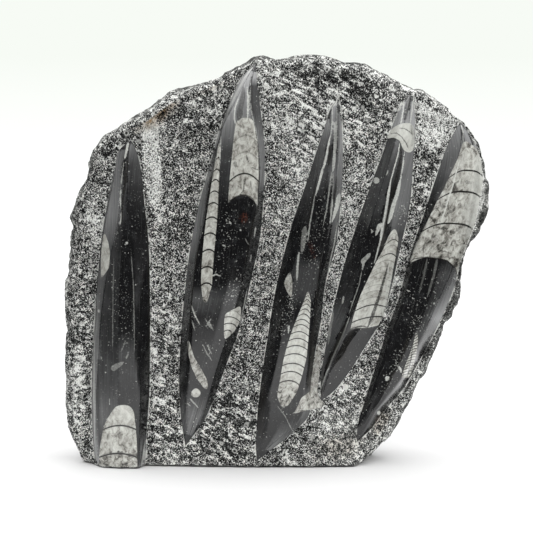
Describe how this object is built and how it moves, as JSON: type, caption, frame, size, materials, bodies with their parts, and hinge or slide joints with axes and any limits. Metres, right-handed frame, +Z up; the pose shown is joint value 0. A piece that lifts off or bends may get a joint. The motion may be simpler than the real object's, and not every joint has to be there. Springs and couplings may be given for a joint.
{
  "type": "orthoceras fossil plate",
  "caption": "Free-standing slab of dark fossil limestone, its chiselled front carved into long tapering polished ridges that show straight shells in pale calcite.",
  "frame": {"origin": "middle of the bounding box in X and Y, on the surface that the plate stands on", "axes": "+Z up, -Y out of the carved front, +X to the right as seen from the front"},
  "size_m": [0.2978, 0.0804, 0.2851],
  "materials": {
    "limestone": "chiselled rough, with the ridges ground to flats and polished"
  },
  "bodies": {
    "root": {"fossil_plate": "limestone"}
  },
  "joints": []
}
